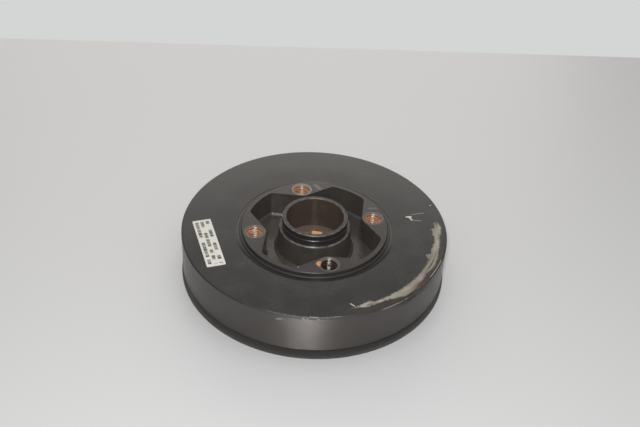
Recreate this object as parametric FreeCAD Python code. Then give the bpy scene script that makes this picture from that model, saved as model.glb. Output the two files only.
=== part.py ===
import FreeCAD, Part
import math
import os

from FreeCAD import Vector

# A crankshaft pulley with a torsional damper, in millimetres.
# It lies on its rear flange with the front up: the axis is Z, and the origin is on it at the floor.

# Inertia ring
RIM_R = 100.0            # smooth outer wall
FACE_Z = 38.5            # flat front face above the floor
WALL_H = 30.7            # smooth wall, from the front face down to the belt groove
RIM_CHAMFER = 1.0        # front edge
FLANGE_LIP = 1.0         # how far the rear flange, which the part rests on, stands out beyond the wall
FLANGE_EDGE = 1.2        # thickness of that flange at its edge
GROOVE_ANGLE = 36.0      # between the two flanks of the belt groove
GROOVE_ROOT = 2.2        # flat at the bottom of the groove
DISH_R = 80.0            # the front face is flat outside this radius
DISH_SLOPE = 8.0         # fall of the face towards the rubber, degrees
DISH_BLEND = 60.0        # radius between the flat and the slope
RELIEF_R = 88.0          # shallow relief turned in the rear face
RELIEF_DEPTH = 3.0
RELIEF_CORNER = 1.5      # conical corner of the relief
BORE_CHAMFER = 0.6       # both ends of the bore

# Balance drillings in the rear face
BALANCE_R = 5.0
BALANCE_DEPTH = 9.0
BALANCE_PITCH_R = 76.0
BALANCE_STEP = 12.0      # degrees between them
BALANCE_ANGLE = 120.0    # the middle one, from +X
BALANCE_COUNT = 3
DRILL_POINT = 118.0      # angle of the drill's tip

# Rubber ring
RUBBER_T = 2.0           # radial thickness
RUBBER_RECESS = 3.0      # front edge below the flat face
RUBBER_REAR_Z = 9.0

# Hub
HUB_R = 57.3             # round the flange, where the rubber is bonded
HUB_PROUD = 0.6          # front of the hub above the flat face
STEP_R = 55.4            # raised front of the flange, inside a turned step
STEP_H = 2.4
HUB_EDGE = 0.5           # broken edges of the flange
FLANGE_WALL = 5.7        # wall between the pockets and the rubber
HUB_REAR_Z = 6.0         # rear edge of the hub's flange
REAR_WALL = 4.7          # that flange's thickness behind the web
REAR_CORNER = 1.5        # conical corner between that flange and the web
POCKET_DEPTH = 20.8
POCKET_CORNER = 1.5      # conical corner at the pocket floor
CORNER_R = 2.5           # where a lobe runs into the flange
WEB_T = 8.0

# Lobes and threaded holes
LOBES = 4
LOBE_ANGLE = 14.7        # the first hole, from +X
HOLE_PITCH_R = 46.0
THREAD_R = 6.0           # outer radius of the M12 thread
COUNTERSINK_R = 7.0
LOBE_TIP_R = 8.7         # round the hole
LOBE_FLANK = 19.0        # degrees between a flank and the tangent at the hole

# Nose tube
NOSE_H = 8.8             # above the hub's front
NOSE_R = 24.6
NOSE_BORE_R = 21.6
NOSE_EDGE = 0.5
LINE_DROP = 4.3          # turned line below the top
LINE_W = 1.0
LINE_DEPTH = 0.5
SHOULDER_DROP = 8.7
SHOULDER_R = 26.9
SHOULDER_EDGE = 0.8
NOSE_ROOT_R = 28.6       # at the pocket floor
NOSE_ROOT_CORNER = 2.0   # conical corner there

# Bolt seat and crankshaft bore
SEAT_DEPTH = 25.8        # below the top of the nose
CRANK_R = 12.0
CRANK_CHAMFER = 0.8
KEY_W = 8.0
KEY_DEPTH = 2.9          # beyond the bore's wall
KEY_ANGLE = 81.0
BOSS_R = 27.0
BOSS_DRAFT = 1.5         # how much wider the boss is at the web
BOSS_LIFT = 0.5          # rear of the boss above the floor

# Paper label on the front face
LABEL_L = 54.0
LABEL_W = 13.8
LABEL_T = 0.2
LABEL_CORNER = 0.8
LABEL_INSET = 18.6       # middle of the label inside the smooth wall
LABEL_BEARING = 198.9    # of its middle, from +X

OVER = 1.0               # how far a cutting tool runs past what it cuts
NEAR = 0.05              # how close an edge lies to the place that it is known by

hub_z = FACE_Z + HUB_PROUD
nose_z = hub_z + NOSE_H
floor_z = hub_z - POCKET_DEPTH
web_z = floor_z - WEB_T
step_z = hub_z - STEP_H
seat_z = nose_z - SEAT_DEPTH
flange_r = RIM_R + FLANGE_LIP
ring_bore_r = HUB_R + RUBBER_T
pocket_r = HUB_R - FLANGE_WALL
half_groove = math.tan(math.radians(GROOVE_ANGLE / 2))


def line(a, b):
    return Part.LineSegment(Vector(a[0], 0, a[1]), Vector(b[0], 0, b[1])).toShape()


def arc(a, through, b):
    points = [Vector(r, 0, z) for r, z in (a, through, b)]
    return Part.Arc(*points).toShape()


def lines(*points):
    return [line(a, b) for a, b in zip(points, points[1:])]


def turned(edges):
    """Revolves a closed section of (radius, height) edges about the axis."""
    face = Part.Face(Part.Wire(edges))
    return face.revolve(Vector(0, 0, 0), Vector(0, 0, 1), 360)


def turned_outline(*points):
    return turned(lines(*points, points[0]))


def around(shape, angle):
    copy = shape.copy()
    copy.rotate(Vector(0, 0, 0), Vector(0, 0, 1), angle)
    return copy


def polar(shape, count, start=0.0):
    return [around(shape, start + 360.0 * i / count) for i in range(count)]


def groove_root_r():
    mouth = FACE_Z - WALL_H - FLANGE_EDGE
    return (RIM_R + flange_r - (mouth - GROOVE_ROOT) / half_groove) / 2


def balance_drilling():
    point_h = BALANCE_R / math.tan(math.radians(DRILL_POINT / 2))
    top = RELIEF_DEPTH + BALANCE_DEPTH
    shank = Part.makeCylinder(BALANCE_R, top + OVER, Vector(BALANCE_PITCH_R, 0, -OVER))
    tip = Part.makeCone(BALANCE_R, 0, point_h, Vector(BALANCE_PITCH_R, 0, top))
    return shank.fuse(tip)


def inertia_ring():
    """The heavy ring: flat front, smooth wall, one belt groove and its rear flange."""
    root_r = groove_root_r()
    upper_z = FACE_Z - WALL_H - (RIM_R - root_r) * half_groove
    lower_z = FLANGE_EDGE + (flange_r - root_r) * half_groove
    slope = math.radians(DISH_SLOPE)
    outer = (DISH_R, FACE_Z)
    middle = (DISH_R - DISH_BLEND * math.sin(slope / 2), FACE_Z - DISH_BLEND * (1 - math.cos(slope / 2)))
    inner = (DISH_R - DISH_BLEND * math.sin(slope), FACE_Z - DISH_BLEND * (1 - math.cos(slope)))
    mouth_r = ring_bore_r + BORE_CHAMFER
    mouth_z = inner[1] - (inner[0] - mouth_r) * math.tan(slope)
    edges = [arc(outer, middle, inner)]
    edges += lines(
        inner,
        (mouth_r, mouth_z),
        (ring_bore_r, mouth_z - BORE_CHAMFER),
        (ring_bore_r, RELIEF_DEPTH + BORE_CHAMFER),
        (mouth_r, RELIEF_DEPTH),
        (RELIEF_R - RELIEF_CORNER, RELIEF_DEPTH),
        (RELIEF_R, RELIEF_DEPTH - RELIEF_CORNER),
        (RELIEF_R, 0),
        (flange_r, 0),
        (flange_r, FLANGE_EDGE),
        (root_r, lower_z),
        (root_r, upper_z),
        (RIM_R, FACE_Z - WALL_H),
        (RIM_R, FACE_Z - RIM_CHAMFER),
        (RIM_R - RIM_CHAMFER, FACE_Z),
        outer,
    )
    ring = turned(edges)
    first = BALANCE_ANGLE - BALANCE_STEP * (BALANCE_COUNT - 1) / 2
    drillings = [around(balance_drilling(), first + BALANCE_STEP * i) for i in range(BALANCE_COUNT)]
    return ring.cut(drillings)


def rubber_ring():
    """The bonded elastomer between the hub and the inertia ring."""
    top_z = FACE_Z - RUBBER_RECESS
    return turned_outline(
        (HUB_R, top_z),
        (ring_bore_r, top_z),
        (ring_bore_r, RUBBER_REAR_Z),
        (HUB_R, RUBBER_REAR_Z),
    )


def lobe_face():
    """Plan of one lobe: a round tip about the hole, and two straight flanks to the flange."""
    flank = math.radians(LOBE_FLANK)
    reach = pocket_r + OVER
    touch = Vector(HOLE_PITCH_R - LOBE_TIP_R * math.cos(flank), LOBE_TIP_R * math.sin(flank), 0)
    tip = Vector(HOLE_PITCH_R - LOBE_TIP_R, 0, 0)
    run = (reach - touch.x) / math.sin(flank)
    end = touch + Vector(math.sin(flank), math.cos(flank), 0) * run
    mirror = [Vector(p.x, -p.y, 0) for p in (touch, end)]
    edges = [
        Part.Arc(mirror[0], tip, touch).toShape(),
        Part.LineSegment(touch, end).toShape(),
        Part.LineSegment(end, mirror[1]).toShape(),
        Part.LineSegment(mirror[1], mirror[0]).toShape(),
    ]
    return Part.Face(Part.Wire(edges))


def is_corner(edge):
    """An upright edge on the well's round wall, where a flank ends."""
    box = edge.BoundBox
    upright = box.ZLength > POCKET_DEPTH and max(box.XLength, box.YLength) < NEAR
    at = edge.CenterOfMass
    return upright and abs(math.hypot(at.x, at.y) - pocket_r) < NEAR


def pocket_space():
    """What the casting leaves open: a round well less the four lobes, with rounded corners."""
    height = POCKET_DEPTH + OVER
    well = Part.makeCylinder(pocket_r, height, Vector(0, 0, floor_z))
    lobe = lobe_face().extrude(Vector(0, 0, height + 2 * OVER))
    lobe.translate(Vector(0, 0, floor_z - OVER))
    space = well.cut(polar(lobe, LOBES, LOBE_ANGLE))
    corners = [e for e in space.Edges if is_corner(e)]
    space = space.makeFillet(CORNER_R, corners)
    bottom = [e for e in space.Edges if e.BoundBox.ZMax < floor_z + NEAR]
    return space.makeChamfer(POCKET_CORNER, bottom)


def hub_blank():
    """The flange and the web, turned: stepped at the front, open behind."""
    rear_r = HUB_R - REAR_WALL
    return turned_outline(
        (0, hub_z),
        (STEP_R - HUB_EDGE, hub_z),
        (STEP_R, hub_z - HUB_EDGE),
        (STEP_R, step_z),
        (HUB_R - HUB_EDGE, step_z),
        (HUB_R, step_z - HUB_EDGE),
        (HUB_R, HUB_REAR_Z + HUB_EDGE),
        (HUB_R - HUB_EDGE, HUB_REAR_Z),
        (rear_r, HUB_REAR_Z),
        (rear_r, web_z - REAR_CORNER),
        (rear_r - REAR_CORNER, web_z),
        (0, web_z),
    )


def nose():
    """The tube's outside, turned, with its shoulder and the root that runs into the pocket floor."""
    shoulder_z = nose_z - SHOULDER_DROP
    line_z = nose_z - LINE_DROP
    foot_r = NOSE_ROOT_R + NOSE_ROOT_CORNER
    return turned_outline(
        (0, nose_z),
        (NOSE_R - NOSE_EDGE, nose_z),
        (NOSE_R, nose_z - NOSE_EDGE),
        (NOSE_R, line_z),
        (NOSE_R - LINE_DEPTH, line_z - LINE_W / 2),
        (NOSE_R, line_z - LINE_W),
        (NOSE_R, shoulder_z),
        (SHOULDER_R - SHOULDER_EDGE, shoulder_z),
        (SHOULDER_R, shoulder_z - SHOULDER_EDGE),
        (NOSE_ROOT_R, floor_z + NOSE_ROOT_CORNER),
        (foot_r, floor_z),
        (foot_r, floor_z - OVER),
        (0, floor_z - OVER),
    )


def rear_boss():
    height = web_z + OVER - BOSS_LIFT
    return Part.makeCone(BOSS_R, BOSS_R + BOSS_DRAFT, height, Vector(0, 0, BOSS_LIFT))


def threaded_hole():
    depth = hub_z - web_z + 2 * OVER
    sink = COUNTERSINK_R - THREAD_R
    at = Vector(HOLE_PITCH_R, 0, web_z - OVER)
    bore = Part.makeCylinder(THREAD_R, depth, at)
    cone = Part.makeCone(THREAD_R, COUNTERSINK_R + OVER, sink + OVER, Vector(HOLE_PITCH_R, 0, hub_z - sink))
    return bore.fuse(cone)


def centre_bores():
    """The counterbore for the bolt, and the crankshaft's bore with its keyway, open at the seat."""
    front = turned_outline(
        (0, seat_z),
        (NOSE_BORE_R, seat_z),
        (NOSE_BORE_R, nose_z - NOSE_EDGE),
        (NOSE_BORE_R + NOSE_EDGE + OVER, nose_z + OVER),
        (0, nose_z + OVER),
    )
    crank = turned_outline(
        (0, BOSS_LIFT - OVER),
        (CRANK_R + CRANK_CHAMFER + OVER, BOSS_LIFT - OVER),
        (CRANK_R, BOSS_LIFT + CRANK_CHAMFER),
        (CRANK_R, seat_z - CRANK_CHAMFER),
        (CRANK_R + CRANK_CHAMFER, seat_z),
        (0, seat_z),
    )
    key = Part.makeBox(CRANK_R + KEY_DEPTH, KEY_W, seat_z, Vector(0, -KEY_W / 2, 0))
    return [front, crank, around(key, KEY_ANGLE)]


def hub():
    """The cast and turned hub: flange, web, four lobes, nose tube and rear boss in one piece."""
    body = hub_blank().cut(pocket_space())
    body = body.fuse([nose(), rear_boss()])
    return body.cut(polar(threaded_hole(), LOBES, LOBE_ANGLE) + centre_bores()).removeSplitter()


def paper_label():
    corner = Vector(RIM_R - LABEL_INSET - LABEL_W / 2, -LABEL_L / 2, FACE_Z)
    box = Part.makeBox(LABEL_W, LABEL_L, LABEL_T, corner)
    upright = [e for e in box.Edges if abs(e.BoundBox.ZLength - LABEL_T) < LABEL_T / 2]
    return around(box.makeFillet(LABEL_CORNER, upright), LABEL_BEARING)


os.makedirs("parts", exist_ok=True)
for node, shape in (
    ("inertia_ring", inertia_ring()),
    ("rubber_ring", rubber_ring()),
    ("hub", hub()),
    ("paper_label", paper_label()),
):
    if not shape.isValid() or len(shape.Solids) != 1:
        raise ValueError(node + " is not one valid solid")
    shape.Solids[0].exportStep("parts/" + node + ".step")
    print(node, round(shape.Volume), "mm3")
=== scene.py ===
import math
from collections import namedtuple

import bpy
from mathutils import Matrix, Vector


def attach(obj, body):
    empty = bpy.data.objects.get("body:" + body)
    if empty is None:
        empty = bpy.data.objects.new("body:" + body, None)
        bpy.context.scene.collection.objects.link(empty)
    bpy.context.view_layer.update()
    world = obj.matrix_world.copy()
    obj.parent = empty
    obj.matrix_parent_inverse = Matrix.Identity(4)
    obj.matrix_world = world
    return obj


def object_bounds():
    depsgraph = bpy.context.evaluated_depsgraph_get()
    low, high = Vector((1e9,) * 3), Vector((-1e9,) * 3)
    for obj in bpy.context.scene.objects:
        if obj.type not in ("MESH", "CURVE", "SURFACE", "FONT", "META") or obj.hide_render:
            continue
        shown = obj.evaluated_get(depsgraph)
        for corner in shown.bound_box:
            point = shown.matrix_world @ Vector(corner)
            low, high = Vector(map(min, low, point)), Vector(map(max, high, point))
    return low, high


bl_info = {
    "name": "Crankshaft pulley",
    "version": (1, 0, 0),
    "blender": (4, 5, 0),
    "location": "3D View > Sidebar > Pulley",
    "description": "Paint, rust, threads and a label for a crankshaft pulley, on a pale table",
    "category": "Object",
}

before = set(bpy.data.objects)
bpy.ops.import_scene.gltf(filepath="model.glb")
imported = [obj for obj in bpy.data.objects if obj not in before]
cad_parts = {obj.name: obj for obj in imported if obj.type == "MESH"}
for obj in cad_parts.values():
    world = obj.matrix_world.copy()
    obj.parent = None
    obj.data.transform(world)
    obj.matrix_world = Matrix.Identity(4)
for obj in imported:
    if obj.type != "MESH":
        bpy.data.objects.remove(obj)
cad_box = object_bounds()

MM = 0.001

# Where things lie on the pulley, in millimetres and degrees. The rear flange stands out past the wall.
FLANGE_OUT = 1.0
RIM_R = cad_box[1][0] / MM - FLANGE_OUT
CHAMFER = 1.0
DISH_R = 80.0
BORE_R = 59.3
FACE_Z = 38.5
RUBBER_Z = 35.5
GROOVE_Z = 7.8
HUB_R = 57.3
STEP_R = 55.4
HUB_Z = 39.1
NOSE_R = 24.6
NOSE_Z = cad_box[1][2] / MM
NOSE_BORE_R = 21.6
SHOULDER_R = 26.9
SHOULDER_Z = 39.2
SEAT_Z = 22.1
SHAFT_R = 12.0
HOLE_BOTTOM_Z = 10.3
HOLE_R = 6.0
SINK_R = 7.0
HOLE_PITCH_R = 46.0
HOLE_ANGLE = 14.7
HOLES = 4
LABEL_AT = (-77.01, -26.37, 38.7)
LABEL_TURN = -71.1

# Bright scratches on the ring: both ends and half the width
RING_SCRATCHES = (
    ((70.2, 16.9, FACE_Z), (73.6, 16.9, FACE_Z), 0.8),
    ((72.2, 16.4, FACE_Z), (74.4, 13.0, FACE_Z), 0.6),
    ((73.7, 19.7, FACE_Z), (83.9, 22.2, FACE_Z), 0.13),
    ((74.6, 12.6, FACE_Z), (81.2, 12.4, FACE_Z), 0.14),
    ((89.2, 32.6, FACE_Z), (90.2, 32.8, FACE_Z), 0.25),
    ((27.3, -84.0, FACE_Z), (29.9, -86.1, FACE_Z), 0.35),
    ((-22.8, -97.4, 33.6), (-18.9, -98.2, 34.6), 0.35),
    ((57.6, -0.4, 38.3), (60.4, -0.2, 38.4), 0.3),
)
# Dark nicks on the ring
RING_NICKS = (
    ((83.4, -24.8, FACE_Z), (84.6, -25.0, FACE_Z), 0.6),
    ((88.6, 29.8, FACE_Z), (90.2, 31.2, FACE_Z), 0.5),
    ((-68.9, -71.0, FACE_Z), (-67.4, -73.6, 38.0), 0.4),
    ((2.0, -66.6, FACE_Z), (2.6, -67.2, FACE_Z), 0.4),
)
# Small bright marks on the hub: stamped nicks at the front, dashes at the pocket's foot and dots on the nose
HUB_SCRATCHES = (
    ((-19.6, -44.4, HUB_Z), (-17.4, -45.4, HUB_Z), 0.22),
    ((-16.2, -45.6, HUB_Z), (-15.2, -47.6, HUB_Z), 0.2),
    ((-14.2, -46.6, HUB_Z), (-12.9, -48.9, HUB_Z), 0.22),
    ((-12.0, -47.6, HUB_Z), (-9.9, -49.5, HUB_Z), 0.3),
    ((-36.0, 38.0, 18.4), (-33.4, 38.2, 18.4), 0.4),
    ((-31.4, 38.0, 18.4), (-27.2, 38.4, 18.4), 0.35),
    ((-23.0, 6.0, 47.4), (-24.2, 5.0, 46.9), 0.35),
    ((-24.4, -6.0, 44.0), (-24.2, -7.4, 43.6), 0.35),
)
# Pale smears on the lobes
HUB_SMEARS = (
    ((-1.2, 51.0, HUB_Z), (2.4, 46.4, HUB_Z), 1.5),
    ((41.0, 23.8, HUB_Z), (47.0, 24.6, HUB_Z), 0.7),
)
# The painted glint of the flash down the back wall of a threaded hole: how far down it goes, and half its
# width
SHEEN_DEPTH = 9.0
SHEEN_HALF = 1.1
# A spot of rust beside the front hole
RUST_SPOT_AT = (5.3, -44.4, 38.6)
# Marks on the hub, as bands of angle (low, high, softness), the smears with a band of height too
FRONT_HOLE = (-95, -55, 1.0)
BACK_HOLE = (85, 125, 2.0)
# The painted highlight down the back of the bore's wall
BORE_HIGHLIGHT = (88, 96, 5.0)
BORE_SMEARS = ((64, 96, 3.0), (36, 42, 1.0))
# The keyway's rust, partly a painted glint of the flash
KEYWAY_RUST_AND_GLINT = (60, 102, 3.0)

# The scrape on the front face: its inner and outer edges, as (degrees, radius)
SCRAPE_SPAN = (-74.0, 12.0)
SCRAPE_REACH = (84.0, 100.0)
SCRAPE_INNER = (
    (-74, 93.5), (-70, 92.2), (-65, 90.0), (-63, 89.2), (-62, 91.6), (-50, 91.4), (-30, 91.0), (-21.5, 90.4),
    (-19.6, 87.6), (-18.6, 87.0), (-17, 90.2), (-13, 89.2), (-11.5, 90.6), (-10.3, 89.2), (-9.5, 90.6),
    (-4, 90.4), (-2.6, 89.0), (0.5, 89.2), (1.6, 88.0), (2.4, 90.6), (6, 91.6), (12, 95.0),
)
SCRAPE_OUTER = (
    (-74, 92.5), (-70, 93.0), (-66, 94.6), (-62, 94.0), (-55, 94.6), (-51, 96.6), (-48, 98.2), (-41, 97.6),
    (-35, 96.0), (-30, 95.0), (-24, 96.6), (-19, 96.0), (-12, 95.0), (-5, 94.6), (-1, 95.4), (3, 96.2),
    (6, 95.4), (8, 93.0), (12, 91.0),
)
# The radius where the scrape's streaks are measured, how far its fringe goes in and out, its streaks, as how
# far each goes round the rim and across it, and how far apart the cells for the specks of dust are
SCRAPE_R = 92.0
FRINGE = 1.3
FRINGE_STROKE = (0.6862, 6.9444)
BROWN_STREAK = (32.114, 0.90909)
RUST_STREAK = (26.762, 0.66667)
DUST_SPACING = 4.5455
# Old rust that crept under the paint: bands of angle, radius and height, each as (low, high, softness)
EVERY_HEIGHT = (-1.0, 50.0, 0.5)
STAINS = (
    ((-36, -10, 3.0), (95.0, 98.6, 0.8), EVERY_HEIGHT),
    ((-70, -34, 4.0), (96.5, 99.4, 0.8), EVERY_HEIGHT),
    ((-52, -30, 6.0), (99.4, 101, 0.2), (33, 39, 2.0)),
)
# Rust spots beside the scrape and its brown part, in bands too
RUST_SPOTS = ((-39.5, -34, 1.0), (98.0, 99.7, 0.3))
BROWN_SCRAPE = (-42, -14, 3.0)
# Where the two edges of the rim's chamfer are painted bright iron: bands of angle, as (low, high, softness).
# The first band of each, at the front centre, is a painted highlight; the second is rubbed wear.
WORN_AND_LIT_UPPER = ((-107, -78, 2.0), (-43, -38, 1.0))
WORN_AND_LIT_LOWER = ((-93, -83, 1.0), (-52, -43, 2.0))
# Unbroken runs to the right: the upper one is a painted highlight, the lower one a pale line of rubbed iron
LIT_UPPER_RUN = (-32, -19.5, 0.6)
CLEAN_LOWER = (-60.5, -52, 1.5)
# The near side of the joint, where shade is painted: its middle, half its width and its softness, in degrees
SHADED_SIDE = (-87.0, 70.0, 12.0)

# The label's print, in millimetres: each row's middle, with the noise below which it has a gap
LABEL_ROWS = ((-4.1, 0.40), (-0.1, 0.47), (3.9, 0.45))
PRINT_HALF_LENGTH = 24.8
BAR_HALF_HEIGHT = 1.25
BAR_PITCH = 0.8
BLOCK_PITCH = 7.6923

# The stage, in metres: the table's width and depth, its far edge, its turn in degrees, and the camera
TABLE_SIZE = (6.0, 3.36)
TABLE_FAR_EDGE = 0.36
TABLE_TURN = 2.6
CAMERA_AT = (0, -0.54617533, 0.47235223)
CAMERA_RIGHT = (0.99868693, 0.02719928, 0.04341208)
CAMERA_UP = (-0.05098078, 0.61098599, 0.78999815)
# Each lamp's place, and its width and height: beside the camera, overhead, and a pale wall behind the table
FLASH = ((-0.02, -0.58, 0.56), (0.08, 0.08))
OVERHEAD = ((0.1, 0.1, 1.4), (1.0, 1.0))
WALL_BEHIND = ((-0.15, 1.5, 0.6), (1.6, 0.95))
LAMPS_AIM = (0, 0, 0.03)


def srgb(code):
    """An sRGB hex colour as linear RGBA."""
    values = [int(code[i:i + 2], 16) / 255 for i in (1, 3, 5)]
    return [v / 12.92 if v <= 0.04045 else ((v + 0.055) / 1.055) ** 2.4 for v in values] + [1.0]


def colour(name, description, code):
    return bpy.props.FloatVectorProperty(
        name=name, description=description, subtype="COLOR", size=4, min=0, max=1, default=srgb(code)
    )


def length(name, description, millimetres):
    return bpy.props.FloatProperty(
        name=name, description=description, unit="LENGTH", subtype="DISTANCE", precision=5,
        default=millimetres * MM,
    )


def factor(name, description, value):
    return bpy.props.FloatProperty(
        name=name, description=description, subtype="FACTOR", default=value, min=0, max=1
    )


def amount(name, description, value):
    return bpy.props.FloatProperty(name=name, description=description, default=value, min=0)


class PaintSettings(bpy.types.PropertyGroup):
    paint: colour("Paint", "Satin black stoving paint", "#242221")
    worn: colour("Worn paint", "Paint rubbed thin over the primer", "#2D2B29")
    wall: colour("Wall", "Turned iron of the wall under thin black paint", "#676360")
    # Painted light: paler paint that lifts the shade in the groove under the wall
    painted_light_groove: colour("Groove", "Paint polished thin by the belt", "#413F3D")
    # Painted light: paler paint that lifts the shade on the ring's bore wall
    painted_light_bore_wall: colour("Lip", "Dusty paint at the joint with the rubber", "#57534F")
    # Painted shade, laid on the near side of the joint, not oily dirt
    painted_shade: colour("Grime", "Oily dirt at the foot of the hub", "#1B1A19")
    filler: colour("Scraped layer", "Grey layer laid bare where the rim was scraped", "#A9A697")
    filler_brown: colour("Stained layer", "Rust-stained part of the scraped layer", "#84786D")
    stain: colour("Stain", "Old rust that crept under the paint", "#33291F")
    rust: colour("Rust", "Rust spots on the scraped edge", "#84503F")
    # Bright iron on rubbed edges and scratches, also laid as a painted highlight on the chamfer's front
    bare: colour("Bare edge", "Bright iron on rubbed edges", "#C9C4BA")
    nick: colour("Nick", "Dirt in the nicks", "#1B1917")
    dust: colour("Dust", "Pale dust", "#8C8882")
    mottle: length("Mottle", "Size of the paint's cloudy patches", 22.0)
    grain: length("Grain", "Size of the paint's orange peel", 1.4)
    grain_height: length("Grain height", "Height of the orange peel", 0.03)
    scrape_depth: length("Scrape depth", "Depth of the scrape in the paint", 0.2)
    lathe: length("Lathe marks", "Feed of the tool that turned the wall", 0.45)
    lathe_height: length("Lathe mark height", "Half the height of the lathe marks", 0.07425)
    rough_paint: factor("Paint roughness", "Roughness of sound paint", 0.25)
    rough_worn: factor("Worn roughness", "Roughness of paint rubbed thin", 0.28)
    rough_wall: factor("Wall roughness", "Roughness of the wall", 0.22)
    rough_blotch: factor("Blotch roughness", "Roughness of the wall's duller blotches", 0.26)
    rough_edge: factor("Edge roughness", "Roughness of the rim's chamfer", 0.5)
    rough_scraped: factor("Scraped roughness", "Roughness where the paint is scraped or dirty", 0.75)
    wall_metal: factor("Wall metal", "How much iron shows through the wall's paint", 0.85)
    gloss: factor("Gloss", "Specular level of sound paint", 0.5)
    # Lower gloss that goes with the painted shade at the joint
    shade_gloss: factor("Grime gloss", "Specular level under oily dirt", 0.08)


class HubSettings(bpy.types.PropertyGroup):
    paint: colour("Paint", "Thin black paint on the hub", "#2F2C2A")
    casting: colour("Casting", "Painted cast skin in the pockets", "#4A4540")
    well: colour("Oxidised bore", "Dark oxide on the wall of the nose bore", "#4B403A")
    turned: colour("Turned iron", "Oxidised turned iron of the bolt seat", "#7C6A5E")
    rust: colour("Rust", "Rust in the threads and the keyway", "#C48A68")
    rust_pale: colour("Pale rust", "Dry rust on the crests", "#FBE3D0")
    rust_dark: colour("Dark rust", "Damp rust deep in the threads", "#85553C")
    # Painted highlight: the flash's glint down the back of the threads
    sheen: colour("Sheen", "Glint of the flash on the back of the threads", "#FFF6EC")
    verdigris: colour("Smear", "Greenish smears on the wall of the bore", "#66694F")
    damp: colour("Damp thread", "Oily thread of the front hole", "#241F1E")
    halo: colour("Halo", "Paint worn pale round the holes", "#8A8176")
    # Rust in the keyway, painted near white as a stand-in for the flash's glint
    key: colour("Keyway", "Bright rust in the keyway", "#FFC98F")
    # Bright iron on scratches, also laid as a painted highlight on the nose's edges
    bare: colour("Bare edge", "Bright iron on rubbed edges", "#C9C4BA")
    # Painted shade on the hub's step, darkest on the near side, not oily dirt
    painted_shade: colour("Grime", "Oily dirt at the foot of the step", "#1B1A19")
    turning: length("Turning marks", "Feed of the lathe on the bolt seat", 1.3)
    turning_height: length("Turning mark height", "Half the height of the turning marks", 0.04)
    grit: length("Grit", "Size of the cast skin's grain", 1.1111)
    grit_height: length("Grit height", "Height of the cast skin's grain", 0.12)
    rough_paint: factor("Paint roughness", "Roughness of sound paint", 0.26)
    rough_worn: factor("Worn roughness", "Roughness of paint rubbed thin", 0.31)
    rough_edge: factor("Edge roughness", "Roughness of the nose's rubbed edges", 0.34)
    # Roughness and gloss of the step that carries the painted shade
    rough_ledge: factor("Ledge roughness", "Roughness of the dirty step", 0.55)
    rough_rust: factor("Rust roughness", "Roughness of the rusty holes and keyway", 0.6)
    gloss: factor("Gloss", "Specular level of sound paint", 0.5)
    ledge_gloss: factor("Ledge gloss", "Specular level of the dirty step", 0.35)


class ThreadSettings(bpy.types.PropertyGroup):
    pitch: length("Pitch", "Pitch of the M12 thread", 1.75)
    depth: length("Depth", "Height of the thread's ridge", 0.95)
    foot: factor("Foot", "Half the foot of the ridge, as a share of the pitch", 0.42)
    lead_in: length("Lead-in", "Depth of the countersink above the thread", 1.0)
    steps: bpy.props.IntProperty(name="Steps", description="Steps in one turn", default=36, min=12)
    grit: length("Grit", "Size of the rust's grain", 0.83333)
    grit_height: length("Grit height", "Height of the rust's grain", 0.1)
    roughness: factor("Roughness", "Roughness of the oily rust", 0.38)


class RubberSettings(bpy.types.PropertyGroup):
    paint: colour("Paint", "Black paint on the rubber", "#3B3836")
    worn: colour("Worn paint", "Dusty paint on the rubber", "#4A4643")
    # Painted shade on the near side of the joint, not oily dirt
    painted_shade: colour("Grime", "Oily dirt in the joint", "#141312")
    grain: length("Grain", "Size of the moulded grain", 0.66667)
    grain_height: length("Grain height", "Height of the moulded grain", 0.05)
    roughness: factor("Roughness", "Roughness of the painted rubber", 0.45)


class LabelSettings(bpy.types.PropertyGroup):
    paper: colour("Paper", "White label paper", "#CFCDC4")
    ink: colour("Ink", "Printed bars", "#3A3733")
    grain: length("Paper grain", "Size of the paper's fibres", 0.5)
    grain_height: length("Paper grain height", "Height of the paper's fibres", 0.01)
    roughness: factor("Roughness", "Roughness of the coated paper", 0.55)


class StageSettings(bpy.types.PropertyGroup):
    table: colour("Table", "White laminate that the pulley lies on", "#CCCCCC")
    table_roughness: factor("Table roughness", "Roughness of the laminate", 0.36)
    backdrop: colour("Backdrop", "What is seen past the table", "#D4D5D5")
    flash: amount("Flash", "Lamp beside the camera, in watts", 3.6)
    top: amount("Top", "Soft lamp overhead, in watts", 3.5)
    back: amount("Back", "Pale wall behind, in watts", 7.4)
    back_tint: colour("Back tint", "Warm white of the wall behind", "#FFF8F0")
    ambient: amount("Ambient", "Strength of the room's light", 0.40)
    lens: bpy.props.FloatProperty(name="Lens", description="Focal length", default=51.866, unit="CAMERA")


class Pulley(bpy.types.PropertyGroup):
    ring: bpy.props.PointerProperty(type=PaintSettings)
    hub: bpy.props.PointerProperty(type=HubSettings)
    thread: bpy.props.PointerProperty(type=ThreadSettings)
    rubber: bpy.props.PointerProperty(type=RubberSettings)
    label: bpy.props.PointerProperty(type=LabelSettings)
    stage: bpy.props.PointerProperty(type=StageSettings)


def live(node):
    """The output that a node gives in its present mode."""
    return next(socket for socket in node.outputs if socket.enabled)


def add(tree, kind, inputs=None, **settings):
    """Adds a node with its settings. An input is a value, another node's live output, or a socket."""
    node = tree.nodes.new("ShaderNode" + kind)
    for name, value in settings.items():
        setattr(node, name, value)
    sockets = [s for s in node.inputs if s.enabled]
    for key, value in (inputs or {}).items():
        socket = sockets[key] if isinstance(key, int) else next(s for s in sockets if s.name == key)
        if isinstance(value, bpy.types.Node):
            value = live(value)
        if isinstance(value, bpy.types.NodeSocket):
            tree.links.new(value, socket)
        else:
            socket.default_value = value
    return node


def new_material(name):
    """A material with a Principled shader; returns it, its node tree and the shader."""
    material = bpy.data.materials.new(name)
    material.use_nodes = True
    tree = material.node_tree
    return material, tree, tree.nodes["Principled BSDF"]


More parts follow.
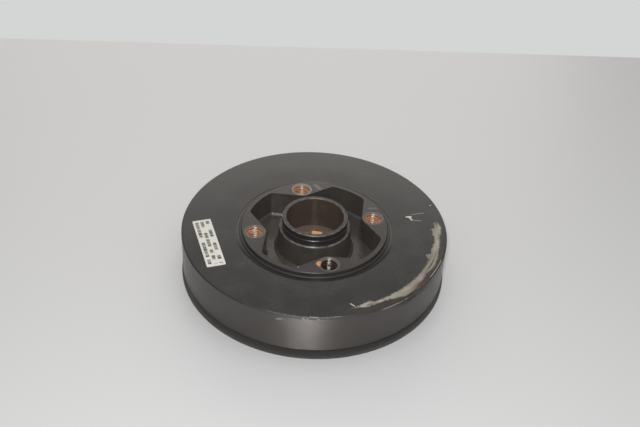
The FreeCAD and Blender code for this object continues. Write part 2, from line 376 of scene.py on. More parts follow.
def wire(tree, shader, **nodes):
    """Links each node to the shader's socket of that name, with underscores for spaces."""
    for name, node in nodes.items():
        tree.links.new(live(node), shader.inputs[name.replace("_", " ")])


def millimetres(tree):
    """Object coordinates in millimetres."""
    coordinates = add(tree, "TexCoord").outputs["Object"]
    return add(tree, "VectorMath", {0: coordinates, "Scale": 1 / MM}, operation="SCALE")


Place = namedtuple("Place", "vector radius z angle")


def places(tree):
    """A point in millimetres, with its distance from the axis, its height and its angle in degrees."""
    vector = millimetres(tree)
    x, y, z = add(tree, "SeparateXYZ", {0: vector}).outputs
    flat = add(tree, "CombineXYZ", {0: x, 1: y})
    radius = add(tree, "VectorMath", {0: flat}, operation="LENGTH").outputs["Value"]
    turn = add(tree, "Math", {0: y, 1: x}, operation="ARCTAN2")
    return Place(vector, radius, z, add(tree, "Math", {0: turn}, operation="DEGREES"))


def between(tree, value, low, high, soft):
    """1 where the value lies between low and high, with soft ends."""
    rising = {0: value, "From Min": low - soft, "From Max": low + soft}
    falling = {0: value, "From Min": high + soft, "From Max": high - soft}
    up = add(tree, "MapRange", rising, interpolation_type="SMOOTHSTEP")
    down = add(tree, "MapRange", falling, interpolation_type="SMOOTHSTEP")
    return add(tree, "Math", {0: up, 1: down}, operation="MULTIPLY")


def both(tree, *masks):
    """1 where all the masks are 1."""
    result = masks[0]
    for mask in masks[1:]:
        result = add(tree, "Math", {0: result, 1: mask}, operation="MULTIPLY")
    return result


def either(tree, *masks):
    """1 where any of the masks is 1."""
    result = masks[0]
    for mask in masks[1:]:
        result = add(tree, "Math", {0: result, 1: mask}, operation="MAXIMUM")
    return result


def part_of(tree, mask, share):
    """A share of a mask, or a multiple of a value."""
    return add(tree, "Math", {0: mask, 1: share}, operation="MULTIPLY")


def zone(tree, *bands):
    """1 where every value lies in its band, given as (value, low, high, softness)."""
    return both(tree, *(between(tree, *band) for band in bands))


def patches(tree, vector, size, low, high, detail=4.0):
    """Noise patches of a size in millimetres, as a mask from low to high of the noise."""
    noise = add(tree, "TexNoise", {"Vector": vector, "Scale": 1 / size, "Detail": detail, "Roughness": 0.6})
    rising = {0: noise, "From Min": low, "From Max": high}
    return add(tree, "MapRange", rising, interpolation_type="SMOOTHSTEP")


def streaks(tree, at, size, detail, roughness):
    """Noise drawn out round the rim: size is how far a streak goes round and across it, in millimetres."""
    run, width = size
    along = part_of(tree, at.angle, math.radians(SCRAPE_R) / run)
    across = part_of(tree, at.radius, 1 / width)
    flow = add(tree, "CombineXYZ", {0: along, 1: across})
    return add(tree, "TexNoise", {"Vector": flow, "Scale": 1.0, "Detail": detail, "Roughness": roughness})


def strokes(tree, vector, marks):
    """Straight marks with round ends, from a table of (start, end, half the width)."""
    masks = []
    for start, end, width in marks:
        run = Vector(end) - Vector(start)
        away = add(tree, "VectorMath", {0: vector, 1: start}, operation="SUBTRACT")
        along = add(tree, "VectorMath", {0: away, 1: run / run.length_squared}, operation="DOT_PRODUCT")
        share = add(tree, "Math", {0: along.outputs["Value"], 1: 1.0}, operation="MULTIPLY", use_clamp=True)
        foot = add(tree, "VectorMath", {0: tuple(run), "Scale": share}, operation="SCALE")
        gap = add(tree, "VectorMath", {0: away, 1: foot}, operation="DISTANCE").outputs["Value"]
        masks.append(add(tree, "MapRange", {0: gap, "From Min": width * 1.3, "From Max": width * 0.7}))
    return either(tree, *masks)


def over(tree, below, above, mask):
    """Colour above laid over colour below where the mask is 1."""
    return add(tree, "Mix", {0: mask, "A": below, "B": above}, data_type="RGBA")


def blend_value(tree, below, above, mask):
    """The value below, and the value above where the mask is 1."""
    return add(tree, "Mix", {0: mask, "A": below, "B": above})


def rise(tree, height, metres, below=None):
    """A bump whose height input of 1 stands so many metres high, on the bump below it if there is one."""
    inputs = {"Height": height, "Distance": metres}
    if below is not None:
        inputs["Normal"] = below
    return add(tree, "Bump", inputs)


def hole_axis(number):
    """Where the axis of one threaded hole stands, in millimetres; the holes count from 0."""
    bearing = math.radians(HOLE_ANGLE + 360 / HOLES * number)
    return HOLE_PITCH_R * math.cos(bearing), HOLE_PITCH_R * math.sin(bearing)


def painted_hole_glints():
    """The painted highlight of the flash down the back wall of each threaded hole, as a table of strokes."""
    marks = []
    for number in range(HOLES):
        x, y = hole_axis(number)
        back = y + HOLE_R - 0.6
        marks.append(((x, back, HUB_Z - SHEEN_DEPTH), (x, back, HUB_Z), SHEEN_HALF))
    return marks


def from_hole(tree, at):
    """How far a place is from the axis of the nearest threaded hole, in millimetres."""
    half = 180 / HOLES
    past = add(tree, "Math", {0: at.angle, 1: HOLE_ANGLE}, operation="SUBTRACT")
    folded = add(tree, "Math", {0: past, 1: half, 2: -half}, operation="WRAP")
    turn = add(tree, "Math", {0: folded}, operation="RADIANS")
    cosine = add(tree, "Math", {0: turn}, operation="COSINE")
    sine = add(tree, "Math", {0: turn}, operation="SINE")
    spot = add(tree, "CombineXYZ", {0: both(tree, at.radius, cosine), 1: both(tree, at.radius, sine)})
    return add(tree, "VectorMath", {0: spot, 1: (HOLE_PITCH_R, 0, 0)}, operation="DISTANCE").outputs["Value"]


def facing(tree, at):
    """The near side of the joint, where shade is painted."""
    middle, half, soft = SHADED_SIDE
    past = add(tree, "Math", {0: at.angle, 1: middle}, operation="SUBTRACT")
    off = add(tree, "Math", {0: past}, operation="ABSOLUTE")
    return between(tree, off, -1, half, soft)


def profile(tree, angle, points):
    """The radius of one edge of the scrape at each angle, from its points."""
    near, far = SCRAPE_REACH
    first, last = SCRAPE_SPAN
    place = add(tree, "MapRange", {0: angle, "From Min": first, "From Max": last})
    curve = add(tree, "FloatCurve", {"Value": place})
    knots = curve.mapping.curves[0].points
    scaled = [((turn - first) / (last - first), (radius - near) / (far - near)) for turn, radius in points]
    knots[0].location = scaled[0]
    knots[1].location = scaled[-1]
    for spot in scaled[1:-1]:
        knots.new(*spot)
    for knot in knots:
        knot.handle_type = "VECTOR"
    curve.mapping.update()
    return add(tree, "MapRange", {0: curve, "To Min": near, "To Max": far})


def scrape_mask(tree, at):
    """Where the front face is scraped down to the grey layer: fringed by short strokes across the rim."""
    inner = profile(tree, at.angle, SCRAPE_INNER)
    outer = profile(tree, at.angle, SCRAPE_OUTER)
    fringe = streaks(tree, at, FRINGE_STROKE, 3.0, 0.7)
    spread = {0: fringe, "From Min": 0.3, "From Max": 0.7, "To Min": -FRINGE, "To Max": FRINGE}
    shift = add(tree, "MapRange", spread)
    past_inner = add(tree, "Math", {0: at.radius, 1: inner}, operation="SUBTRACT")
    short_of_outer = add(tree, "Math", {0: outer, 1: at.radius}, operation="SUBTRACT")
    entered = add(tree, "Math", {0: past_inner, 1: shift}, operation="ADD")
    within = add(tree, "Math", {0: short_of_outer, 1: shift}, operation="ADD")
    inner_side = {0: entered, "From Min": -0.1, "From Max": 0.35}
    outer_side = {0: within, "From Min": -0.1, "From Max": 0.5}
    start = add(tree, "MapRange", inner_side, interpolation_type="SMOOTHSTEP")
    stop = add(tree, "MapRange", outer_side, interpolation_type="SMOOTHSTEP")
    face = between(tree, at.z, FACE_Z - 1.2, FACE_Z + 1, 0.2)
    span = between(tree, at.angle, SCRAPE_SPAN[0] + 1, SCRAPE_SPAN[1] - 2, 1.0)
    return both(tree, start, stop, face, span), fringe


def scraped_layer(tree, settings, at):
    """The grey layer under the paint: stained brown in patches, with lines of dark rust left in it."""
    long_streaks = streaks(tree, at, BROWN_STREAK, 4.0, 0.65)
    streaky = add(tree, "MapRange", {0: long_streaks, "From Min": 0.42, "From Max": 0.62})
    patchy = patches(tree, at.vector, 7.0, 0.45, 0.62)
    browned = either(tree, part_of(tree, patchy, 0.7), part_of(tree, streaky, 0.75))
    layer = over(tree, settings.filler, settings.filler_brown, browned)
    brown_part = between(tree, at.angle, *BROWN_SCRAPE)
    layer = over(tree, layer, settings.filler_brown, part_of(tree, brown_part, 0.55))
    lines = streaks(tree, at, RUST_STREAK, 3.0, 0.7)
    left_over = add(tree, "MapRange", {0: lines, "From Min": 0.50, "From Max": 0.58, "To Max": 0.85})
    return over(tree, layer, settings.stain, both(tree, left_over, patches(tree, at.vector, 9.0, 0.3, 0.5)))


def crept_rust(tree, at):
    """Old rust under the paint beside the scrape."""
    bands = [
        zone(tree, (at.angle, *turn), (at.radius, *reach), (at.z, *height)) for turn, reach, height in STAINS
    ]
    broken = patches(tree, at.vector, 4.0, 0.3, 0.52)
    return both(tree, either(tree, *bands), broken, between(tree, at.z, FACE_Z - 6, FACE_Z + 1, 1.0))


def rust_spots(tree, at):
    """Small rust spots on the edge beside the scrape."""
    turn, reach = RUST_SPOTS
    band = zone(tree, (at.angle, *turn), (at.radius, *reach), (at.z, FACE_Z - 2, FACE_Z + 1, 0.2))
    return part_of(tree, both(tree, band, patches(tree, at.vector, 1.5, 0.4, 0.5)), 0.22)


def worn_and_lit_edges(tree, at):
    """Bright iron on both edges of the rim's chamfer: rubbed wear, and a painted highlight at the front
    centre and in the upper run to the right.
    """
    inner_r = RIM_R - CHAMFER
    lower_z = FACE_Z - CHAMFER
    top = (at.z, FACE_Z - 0.5, FACE_Z + 1, 0.15)
    foot = (at.z, lower_z - 0.3, lower_z + 0.2, 0.15)
    upper = zone(tree, (at.radius, inner_r - 0.2, inner_r + 0.1, 0.12), top)
    lower = zone(tree, (at.radius, RIM_R - 0.3, RIM_R + 1, 0.15), foot)
    broken = part_of(tree, patches(tree, at.vector, 1.4, 0.48, 0.62), 0.7)
    rubbed = either(
        tree,
        *(both(tree, upper, between(tree, at.angle, *band), broken) for band in WORN_AND_LIT_UPPER),
        *(both(tree, lower, between(tree, at.angle, *band), broken) for band in WORN_AND_LIT_LOWER),
    )
    # The upper run is a painted highlight
    lit_upper_run = both(tree, upper, between(tree, at.angle, *LIT_UPPER_RUN))
    clean_lower = both(tree, lower, between(tree, at.angle, *CLEAN_LOWER))
    clean = either(tree, lit_upper_run, part_of(tree, clean_lower, 0.6))
    return either(tree, rubbed, part_of(tree, clean, 0.8))


def settled_dust(tree, at):
    """A few specks of dust on the front face."""
    cells = {"Vector": at.vector, "Scale": 1 / DUST_SPACING, "Randomness": 1.0}
    specks = add(tree, "TexVoronoi", cells, distance="EUCLIDEAN")
    dust = add(tree, "MapRange", {0: specks, "From Min": 0.05, "From Max": 0.03})
    sparse = patches(tree, at.vector, 11.0, 0.55, 0.62)
    return part_of(tree, both(tree, dust, sparse, between(tree, at.z, FACE_Z - 1, FACE_Z + 1, 0.2)), 0.35)


def paint_roughness(tree, settings, at, cloudy, wall, dull):
    """Satin on sound paint, blotched on the wall, dull where it is scraped or dirty."""
    rough = blend_value(tree, settings.rough_paint, settings.rough_worn, cloudy)
    blotches = patches(tree, at.vector, 9.0, 0.35, 0.68)
    blotched = blend_value(tree, settings.rough_wall, settings.rough_blotch, blotches)
    rough = blend_value(tree, rough, blotched, wall)
    inner_r = RIM_R - CHAMFER
    edge = zone(tree, (at.radius, inner_r - 0.1, RIM_R + 0.2, 0.1), (at.z, FACE_Z - 1.2, FACE_Z + 1, 0.1))
    rough = blend_value(tree, rough, settings.rough_edge, edge)
    return blend_value(tree, rough, settings.rough_scraped, dull)


def paint_relief(tree, settings, at, wall, scraped):
    """The orange peel, the depth of the scrape and the lathe's marks on the wall.

    The dished part of the face shows one flat sheen, so its slope is levelled for the light.
    The lathe's marks are drawn coarser than real ones, so that the render can show their streak.
    """
    up = add(
        tree, "VectorTransform", {0: (0, 0, 1)},
        vector_type="NORMAL", convert_from="OBJECT", convert_to="WORLD",
    )
    own = add(tree, "NewGeometry").outputs["Normal"]
    dished = zone(tree, (at.radius, BORE_R + 0.6, DISH_R + 2, 0.1), (at.z, FACE_Z - 2.9, FACE_Z + 1, 0.2))
    level = add(tree, "Mix", {0: part_of(tree, dished, 0.9), "A": own, "B": up}, data_type="VECTOR")
    peel = add(tree, "TexNoise", {"Vector": at.vector, "Scale": 1 / (settings.grain / MM), "Detail": 2.0})
    bump = rise(tree, peel, settings.grain_height, level)
    bump = rise(tree, part_of(tree, scraped, -1.0), settings.scrape_depth, bump)
    marks = add(tree, "Math", {0: part_of(tree, at.z, math.tau / (settings.lathe / MM))}, operation="SINE")
    return rise(tree, both(tree, marks, wall), settings.lathe_height, bump)


def satin_paint(settings):
    """Satin black stoving paint on turned iron.

    It has a dull sheen and a faint orange peel, and its edges are rubbed through to iron, with a painted
    highlight on the rim's chamfer at the front. The wall keeps the lathe's marks under thin paint, so a lamp
    draws a bright upright streak on it. Shade is painted on the near side of the joint, and light is painted
    on the ring's bore wall and in the groove to lift their shade.
    """
    material, tree, shader = new_material("satin_black_paint_on_iron")
    at = places(tree)
    cloudy = patches(tree, at.vector, settings.mottle / MM, 0.35, 0.7, detail=5.0)
    wall = zone(tree, (at.radius, RIM_R - 0.4, RIM_R + 1, 0.2), (at.z, GROOVE_Z, FACE_Z - 1.3, 0.1))
    joint = zone(tree, (at.radius, HUB_R - 2, BORE_R + 1.7, 1.5), (at.z, RUBBER_Z - 1.5, FACE_Z, 0.3))
    shaded_joint = both(tree, facing(tree, at), joint)
    painted_light_bore_wall = zone(tree, (at.radius, HUB_R, BORE_R + 0.8, 0.15), (at.z, RUBBER_Z - 5.5, FACE_Z, 0.1))
    scrape, fringe = scrape_mask(tree, at)

    skin = over(tree, settings.paint, settings.worn, cloudy)
    skin = over(tree, skin, settings.wall, wall)
    # Painted light: the groove under the wall is painted paler to lift its shade
    skin = over(tree, skin, settings.painted_light_groove, between(tree, at.z, -1, GROOVE_Z - 0.2, 0.2))
    # Painted light: the ring's bore wall is painted paler to lift its shade
    skin = over(tree, skin, settings.painted_light_bore_wall, part_of(tree, painted_light_bore_wall, 0.8))
    # Painted shade on the near side of the joint
    skin = over(tree, skin, settings.painted_shade, part_of(tree, shaded_joint, 0.9))
    skin = over(tree, skin, settings.stain, crept_rust(tree, at))
    skin = over(tree, skin, scraped_layer(tree, settings, at), scrape)
    skin = over(tree, skin, settings.rust, rust_spots(tree, at))
    bright = either(tree, worn_and_lit_edges(tree, at), strokes(tree, at.vector, RING_SCRATCHES))
    skin = over(tree, skin, settings.bare, bright)
    skin = over(tree, skin, settings.nick, strokes(tree, at.vector, RING_NICKS))
    skin = over(tree, skin, settings.dust, settled_dust(tree, at))

    wire(
        tree, shader,
        Base_Color=skin,
        Metallic=part_of(tree, wall, settings.wall_metal),
        Specular_IOR_Level=blend_value(tree, settings.gloss, settings.shade_gloss, shaded_joint),
        Roughness=paint_roughness(tree, settings, at, cloudy, wall, either(tree, scrape, shaded_joint)),
        Normal=paint_relief(tree, settings, at, wall, both(tree, scrape, fringe)),
    )
    return material


def rusty_colour(tree, settings, at, away):
    """Rust in a threaded hole: dark at the root of the thread, pale on its crests, oily in the front hole; a
    glint of the flash is painted down the back of each hole.
    """
    blotched = over(tree, settings.rust, settings.rust_pale, patches(tree, at.vector, 1.5, 0.5, 0.68))
    root = add(tree, "MapRange", {0: away, "From Min": HOLE_R - 0.7, "From Max": HOLE_R - 0.1})
    deep = over(tree, blotched, settings.rust_dark, part_of(tree, root, 0.75))
    front = between(tree, at.angle, *FRONT_HOLE)
    deep = over(tree, deep, settings.damp, part_of(tree, front, 0.95))
    # Painted highlight: the flash's glint down the back wall of each hole
    glint = both(tree, strokes(tree, at.vector, painted_hole_glints()), patches(tree, at.vector, 1.2, 0.4, 0.55))
    return over(tree, deep, settings.sheen, part_of(tree, glint, 0.75))


def turned_bore(tree, settings, at, skin, seat, marks):
    """The nose's bore: dark oxide with greenish smears and a painted highlight on its wall, and turned rings
    on the bolt seat.
    """
    well = zone(tree, (at.radius, -1, NOSE_BORE_R + 0.3, 0.1), (at.z, SEAT_Z - 0.3, NOSE_Z - 0.5, 0.2))
    skin = over(tree, skin, settings.well, well)
    # Painted highlight down the back of the bore's wall
    bore_highlight = both(tree, well, between(tree, at.angle, *BORE_HIGHLIGHT))
    skin = over(tree, skin, settings.turned, part_of(tree, bore_highlight, 0.2))
    turn, height = BORE_SMEARS
    smeared = zone(tree, (at.angle, *turn), (at.z, *height))
    smears = both(tree, well, smeared, patches(tree, at.vector, 2.0, 0.5, 0.6))
    skin = over(tree, skin, settings.verdigris, part_of(tree, smears, 0.4))
    tone = add(tree, "MapRange", {0: marks, "From Min": -1.0, "To Min": 0.0, "To Max": 0.8})
    return over(tree, skin, over(tree, settings.turned, settings.well, tone), seat)


def pale_rings(tree, at, away):
    """The countersinks of the holes, worn pale, most of all at the back."""
    sink = zone(tree, (away, HOLE_R - 0.2, SINK_R + 0.9, 0.25), (at.z, HUB_Z - 1.1, HUB_Z + 1, 0.1))
    back = between(tree, at.angle, *BACK_HOLE)
    return both(tree, sink, add(tree, "MapRange", {0: back, "To Min": 0.35, "To Max": 0.8}))


def rust_spot(tree, at):
    """The spot of rust beside the front hole."""
    gap = add(tree, "VectorMath", {0: at.vector, 1: RUST_SPOT_AT}, operation="DISTANCE").outputs["Value"]
    spot = add(tree, "MapRange", {0: gap, "From Min": 3.4, "From Max": 2.5})
    return both(tree, spot, patches(tree, at.vector, 2.0, 0.35, 0.5))


def nose_edges(tree, at):
    """The edges of the nose and of its shoulder."""
    top = (at.z, NOSE_Z - 0.6, NOSE_Z + 1, 0.1)
    shoulder = (at.z, SHOULDER_Z - 0.9, SHOULDER_Z + 0.1, 0.1)
    return either(
        tree,
        zone(tree, (at.radius, NOSE_R - 0.6, NOSE_R + 0.1, 0.1), top),
        zone(tree, (at.radius, NOSE_BORE_R - 0.1, NOSE_BORE_R + 0.6, 0.1), top),
        zone(tree, (at.radius, SHOULDER_R - 0.9, SHOULDER_R + 0.1, 0.1), shoulder),
    )


def hub_finish(settings):
    """Thin black paint on a turned casting.

    It is rusty in the threads, oxidised brown on the bolt seat, and bright on the nose's edges, which is a
    painted highlight with a little rubbing. Highlights are also painted down the threaded holes, the bore and
    the keyway, and shade is painted on the step.
    """
    material, tree, shader = new_material("painted_casting_with_rust")
    at = places(tree)
    cloudy = patches(tree, at.vector, 9.0, 0.35, 0.7)
    away = from_hole(tree, at)
    hole = zone(tree, (away, -1, HOLE_R + 0.3, 0.3), (at.z, -1, HUB_Z - 0.5, 0.3))
    below_seat = (at.z, -1, SEAT_Z - 0.9, 0.1)
    key = zone(tree, (at.radius, SHAFT_R - 1, SHAFT_R + 3.5, 0.2), (at.angle, *KEYWAY_RUST_AND_GLINT), below_seat)
    at_seat = (at.z, SEAT_Z - 0.3, SEAT_Z + 0.3, 0.1)
    seat = zone(tree, (at.radius, SHAFT_R + 0.4, NOSE_BORE_R - 0.2, 0.2), at_seat)
    rings = part_of(tree, at.radius, math.tau / (settings.turning / MM))
    marks = add(tree, "Math", {0: rings}, operation="SINE")
    ledge = zone(tree, (at.radius, STEP_R - 0.7, HUB_R + 1, 0.1), (at.z, 30, HUB_Z - 0.1, 0.1))
    edges = nose_edges(tree, at)

    skin = over(tree, settings.casting, settings.paint, part_of(tree, cloudy, 0.4))
    skin = over(tree, skin, settings.paint, between(tree, at.z, HUB_Z - 0.6, NOSE_Z + 1, 0.2))
    skin = turned_bore(tree, settings, at, skin, seat, marks)
    skin = over(tree, skin, rusty_colour(tree, settings, at, away), hole)
    skin = over(tree, skin, settings.halo, pale_rings(tree, at, away))
    skin = over(tree, skin, settings.rust, rust_spot(tree, at))
    # The keyway's rust with a painted glint of the flash, stopped short below the seat
    skin = over(tree, skin, settings.key, key)
    # Painted shade on the step, from 0.2 at the back to 0.6 on the near side
    dirt = add(tree, "MapRange", {0: facing(tree, at), "To Min": 0.2, "To Max": 0.6})
    skin = over(tree, skin, settings.painted_shade, both(tree, ledge, dirt))
    # Pale iron on the nose's edges, all round in patches: a painted highlight with a little rubbing
    thin = both(tree, edges, patches(tree, at.vector, 4.0, 0.3, 0.7))
    skin = over(tree, skin, settings.bare, part_of(tree, thin, 0.22))
    skin = over(tree, skin, settings.bare, part_of(tree, strokes(tree, at.vector, HUB_SCRATCHES), 0.6))
    skin = over(tree, skin, settings.halo, part_of(tree, strokes(tree, at.vector, HUB_SMEARS), 0.35))

    rough = blend_value(tree, settings.rough_paint, settings.rough_worn, cloudy)
    rough = blend_value(tree, rough, settings.rough_rust, either(tree, hole, key))
    rough = blend_value(tree, rough, settings.rough_edge, edges)
    rough = blend_value(tree, rough, settings.rough_ledge, ledge)

    grit = add(tree, "TexNoise", {"Vector": at.vector, "Scale": 1 / (settings.grit / MM), "Detail": 3.0})
    below_top = {0: at.z, "From Min": HUB_Z - 0.3, "From Max": HUB_Z - 1.5, "To Min": 0.3, "To Max": 1.0}
    bump = rise(tree, both(tree, grit, add(tree, "MapRange", below_top)), settings.grit_height)
    bump = rise(tree, both(tree, marks, seat), settings.turning_height, bump)

    gloss = blend_value(tree, settings.gloss, settings.ledge_gloss, ledge)
    wire(tree, shader, Base_Color=skin, Specular_IOR_Level=gloss, Roughness=rough, Normal=bump)
    return material


def rust_finish(settings, thread):
    """Rust on cut threads, a little oily: dark in the roots, paler and softly shining on the crests, with a
    painted glint of the flash.
    """
    material, tree, shader = new_material("rusty_cut_thread")
    at = places(tree)
    grit = add(tree, "TexNoise", {"Vector": at.vector, "Scale": 1 / (thread.grit / MM), "Detail": 2.0})
    rusty = rusty_colour(tree, settings, at, from_hole(tree, at))
    wire(tree, shader, Base_Color=rusty, Normal=rise(tree, grit, thread.grit_height))
    shader.inputs["Roughness"].default_value = thread.roughness
    return material


def rubber_finish(settings):
    """Moulded rubber, painted over with the ring: a dull, broken skin of paint, with shade painted on its
    near side.
    """
    material, tree, shader = new_material("painted_moulded_rubber")
    at = places(tree)
    dusty = part_of(tree, patches(tree, at.vector, 2.0, 0.45, 0.7), 0.5)
    skin = over(tree, settings.paint, settings.worn, dusty)
    # Painted shade on the near side of the joint
    skin = over(tree, skin, settings.painted_shade, part_of(tree, facing(tree, at), 0.9))
    grain = add(tree, "TexNoise", {"Vector": at.vector, "Scale": 1 / (settings.grain / MM), "Detail": 2.0})
    wire(tree, shader, Base_Color=skin, Normal=rise(tree, grain, settings.grain_height))
    shader.inputs["Roughness"].default_value = settings.roughness
    return material


def printed_row(tree, x, y, row):
    """One row of plain bars in short blocks. Each row reads its own stretch of the noise."""
    middle, gaps = LABEL_ROWS[row]
    bars_at = add(tree, "Math", {0: x, 1: 91.0 * row}, operation="ADD")
    blocks_at = add(tree, "Math", {0: x, 1: 57.0 * row}, operation="ADD")
    fine = {"W": bars_at, "Scale": 1 / BAR_PITCH, "Detail": 1.0}
    coarse = {"W": blocks_at, "Scale": 1 / BLOCK_PITCH, "Detail": 0.0}
    bars = add(tree, "TexNoise", fine, noise_dimensions="1D")
    blocks = add(tree, "TexNoise", coarse, noise_dimensions="1D")
    return both(
        tree,
        zone(
            tree,
            (y, middle - BAR_HALF_HEIGHT, middle + BAR_HALF_HEIGHT, 0.15),
            (x, -PRINT_HALF_LENGTH, PRINT_HALF_LENGTH, 0.1),
        ),
        add(tree, "MapRange", {0: bars, "From Min": 0.42, "From Max": 0.47}),
        add(tree, "MapRange", {0: blocks, "From Min": gaps, "From Max": gaps + 0.02}),
    )


def label_finish(settings):
    """Coated white label paper: a soft sheen, with three rows of plain printed bars."""
    material, tree, shader = new_material("printed_label_paper")
    vector = millimetres(tree)
    moved = add(tree, "VectorMath", {0: vector, 1: LABEL_AT}, operation="SUBTRACT")
    turned = {"Vector": moved, "Angle": -math.radians(LABEL_TURN)}
    local = add(tree, "SeparateXYZ", {0: add(tree, "VectorRotate", turned, rotation_type="Z_AXIS")})
    rows = (printed_row(tree, local.outputs["X"], local.outputs["Y"], row) for row in range(len(LABEL_ROWS)))
    paper = over(tree, settings.paper, settings.ink, either(tree, *rows))
    fibre = add(tree, "TexNoise", {"Vector": vector, "Scale": 1 / (settings.grain / MM), "Detail": 2.0})
    wire(tree, shader, Base_Color=paper, Normal=rise(tree, fibre, settings.grain_height))
    shader.inputs["Roughness"].default_value = settings.roughness
    return material


def table_finish(settings):
    """White laminate: plain, with a soft gloss."""
    material, _, shader = new_material("white_laminate")
    shader.inputs["Base Color"].default_value = settings.table
    shader.inputs["Roughness"].default_value = settings.table_roughness
    return material


def dress(node, material):
    """Gives a carried-over node its material."""
    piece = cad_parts[node]
    if not piece.material_slots:
        piece.data.materials.append(material)
    for slot in piece.material_slots:
        slot.material = material


def deselect():
    """Leaves edit mode and selects nothing."""
    if bpy.context.object and bpy.context.object.mode != "OBJECT":
        bpy.ops.object.mode_set(mode="OBJECT")
    bpy.ops.object.select_all(action="DESELECT")


def thread_ridge(name, settings, turns):
    """One thread's ridge, as a closed helix about the axis that starts at height 0."""
    deselect()
    bpy.ops.mesh.primitive_circle_add(vertices=3, radius=settings.pitch / 2, fill_type="NOTHING")
    ridge = bpy.context.object
    ridge.name = name
    ridge.data.name = name
    wall = HOLE_R * MM
    section = ((wall, -settings.foot), (wall - settings.depth, 0), (wall, settings.foot))
    for vertex, (reach, share) in zip(ridge.data.vertices, section):
        vertex.co = (reach, 0, share * settings.pitch)
    screw = ridge.modifiers.new("Helix", "SCREW")
    screw.steps = settings.steps
    screw.render_steps = settings.steps
    screw.iterations = turns
    screw.screw_offset = settings.pitch
    screw.use_normal_calculate = True
    bpy.ops.object.modifier_apply(modifier=screw.name)
    bpy.ops.object.mode_set(mode="EDIT")
    bpy.ops.mesh.select_all(action="SELECT")
    bpy.ops.mesh.remove_doubles(threshold=MM / 1000)
    bpy.ops.mesh.select_all(action="DESELECT")
    bpy.ops.mesh.select_non_manifold()
    bpy.ops.mesh.edge_face_add()
    bpy.ops.mesh.select_all(action="SELECT")
    bpy.ops.mesh.normals_make_consistent(inside=False)
    bpy.ops.object.mode_set(mode="OBJECT")
    return ridge


class PULLEY_OT_ring(bpy.types.Operator):
    """Paints the inertia ring, with its scrape and rubbed edges"""

    bl_idname = "pulley.ring"
    bl_label = "Inertia ring"

    def execute(self, context):
        dress("inertia_ring", satin_paint(context.scene.pulley.ring))
        return {"FINISHED"}


class PULLEY_OT_hub(bpy.types.Operator):
    """Finishes the hub: paint, rust and turned iron"""

    bl_idname = "pulley.hub"
    bl_label = "Hub"

    def execute(self, context):
        dress("hub", hub_finish(context.scene.pulley.hub))
        return {"FINISHED"}


class PULLEY_OT_rubber(bpy.types.Operator):
    """Finishes the rubber joint"""

    bl_idname = "pulley.rubber"
    bl_label = "Rubber ring"

    def execute(self, context):
        dress("rubber_ring", rubber_finish(context.scene.pulley.rubber))
        return {"FINISHED"}


class PULLEY_OT_label(bpy.types.Operator):
    """Prints the paper label with plain bars"""

    bl_idname = "pulley.label"
    bl_label = "Paper label"

    def execute(self, context):
        dress("paper_label", label_finish(context.scene.pulley.label))
        return {"FINISHED"}


class PULLEY_OT_threads(bpy.types.Operator):
    """Cuts a thread in each hole of the hub"""

    bl_idname = "pulley.threads"
    bl_label = "Threads"

    def execute(self, context):
        settings = context.scene.pulley.thread
        material = rust_finish(context.scene.pulley.hub, settings)
        top = HUB_Z * MM - settings.lead_in
        turns = int((top - HOLE_BOTTOM_Z * MM) / settings.pitch) - 1
        start = top - turns * settings.pitch - settings.pitch / 2
        for number in range(HOLES):
            ridge = thread_ridge(f"thread_{number + 1}", settings, turns)
            x, y = hole_axis(number)
            ridge.data.transform(Matrix.Translation((x * MM, y * MM, start)))
            ridge.data.materials.append(material)
            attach(ridge, "root")
        return {"FINISHED"}


def lay_table(settings):
    """The table, with its far edge behind the pulley."""
    deselect()
    bpy.ops.mesh.primitive_plane_add(size=1)
    table = bpy.context.object
    table.name = "table"
    width, depth = TABLE_SIZE
    table.data.transform(Matrix.Diagonal((width, depth, 1.0, 1.0)))
    table.data.transform(Matrix.Translation((0, -depth / 2, 0)))
    table.data.transform(Matrix.Rotation(math.radians(TABLE_TURN), 4, "Z"))
    table.data.transform(Matrix.Translation((0, TABLE_FAR_EDGE, 0)))
    table.data.materials.append(table_finish(settings))


def add_lamp(name, place, size, watts):
    """A soft lamp of a width and height, aimed at the pulley."""
    light = bpy.data.lights.new(name, "AREA")
    light.shape = "RECTANGLE"
    light.size, light.size_y = size
    light.energy = watts
    lamp = bpy.data.objects.new(name, light)
    bpy.context.scene.collection.objects.link(lamp)
    aim = Vector(place) - Vector(LAMPS_AIM)
    lamp.matrix_world = Matrix.Translation(place) @ aim.to_track_quat("Z", "Y").to_matrix().to_4x4()
    return light


def light_room(scene, settings):
    """Even light from the room, and a plain backdrop where the camera looks past the table."""
    world = bpy.data.worlds.new("room")
    scene.world = world
    world.use_nodes = True
    tree = world.node_tree
    direct = add(tree, "LightPath").outputs["Is Camera Ray"]
    room = over(tree, (1, 1, 1, 1), settings.backdrop, direct)
    strength = blend_value(tree, settings.ambient, 1.0, direct)
    wire(tree, tree.nodes["Background"], Color=room, Strength=strength)


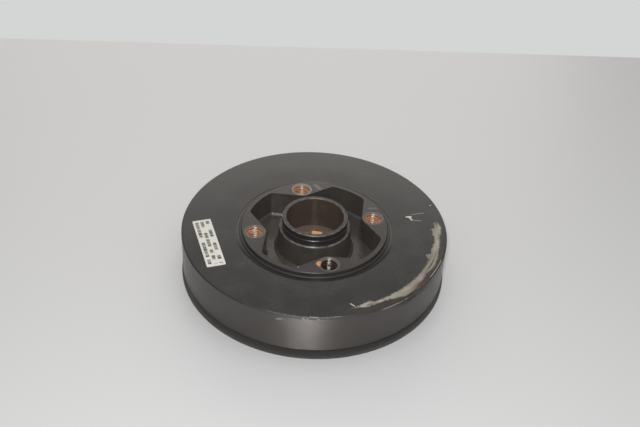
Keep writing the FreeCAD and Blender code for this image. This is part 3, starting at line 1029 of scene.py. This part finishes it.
def set_camera(scene, settings):
    """The camera, where the photograph was taken from."""
    camera = bpy.data.cameras.new("camera")
    camera.lens = settings.lens
    camera.sensor_width = 36
    camera.clip_start = 0.01
    view = bpy.data.objects.new("camera", camera)
    scene.collection.objects.link(view)
    right = Vector(CAMERA_RIGHT)
    up = Vector(CAMERA_UP)
    turn = Matrix((right, up, right.cross(up))).transposed()
    view.matrix_world = Matrix.Translation(CAMERA_AT) @ turn.to_4x4()
    scene.camera = view


class PULLEY_OT_stage(bpy.types.Operator):
    """Sets the table, the lamps, the room's light and the camera"""

    bl_idname = "pulley.stage"
    bl_label = "Stage"

    def execute(self, context):
        settings = context.scene.pulley.stage
        lay_table(settings)
        add_lamp("flash", *FLASH, settings.flash)
        add_lamp("top", *OVERHEAD, settings.top)
        add_lamp("back", *WALL_BEHIND, settings.back).color = settings.back_tint[:3]
        light_room(context.scene, settings)
        set_camera(context.scene, settings)
        context.scene.view_settings.view_transform = "Standard"
        return {"FINISHED"}


STEPS = (PULLEY_OT_ring, PULLEY_OT_hub, PULLEY_OT_rubber, PULLEY_OT_label, PULLEY_OT_threads, PULLEY_OT_stage)


class PULLEY_PT_panel(bpy.types.Panel):
    """Lists the pieces of the pulley"""

    bl_label = "Pulley"
    bl_idname = "PULLEY_PT_panel"
    bl_space_type = "VIEW_3D"
    bl_region_type = "UI"
    bl_category = "Pulley"

    def draw(self, context):
        for step in STEPS:
            self.layout.operator(step.bl_idname)


GROUPS = (PaintSettings, HubSettings, ThreadSettings, RubberSettings, LabelSettings, StageSettings, Pulley)


def register():
    for item in GROUPS + STEPS + (PULLEY_PT_panel,):
        bpy.utils.register_class(item)
    bpy.types.Scene.pulley = bpy.props.PointerProperty(type=Pulley)


def unregister():
    del bpy.types.Scene.pulley
    for item in reversed(GROUPS + STEPS + (PULLEY_PT_panel,)):
        bpy.utils.unregister_class(item)


def main():
    register()
    bpy.ops.pulley.ring()
    bpy.ops.pulley.hub()
    bpy.ops.pulley.rubber()
    bpy.ops.pulley.label()
    bpy.ops.pulley.threads()
    bpy.ops.pulley.stage()


if __name__ == "__main__":
    main()
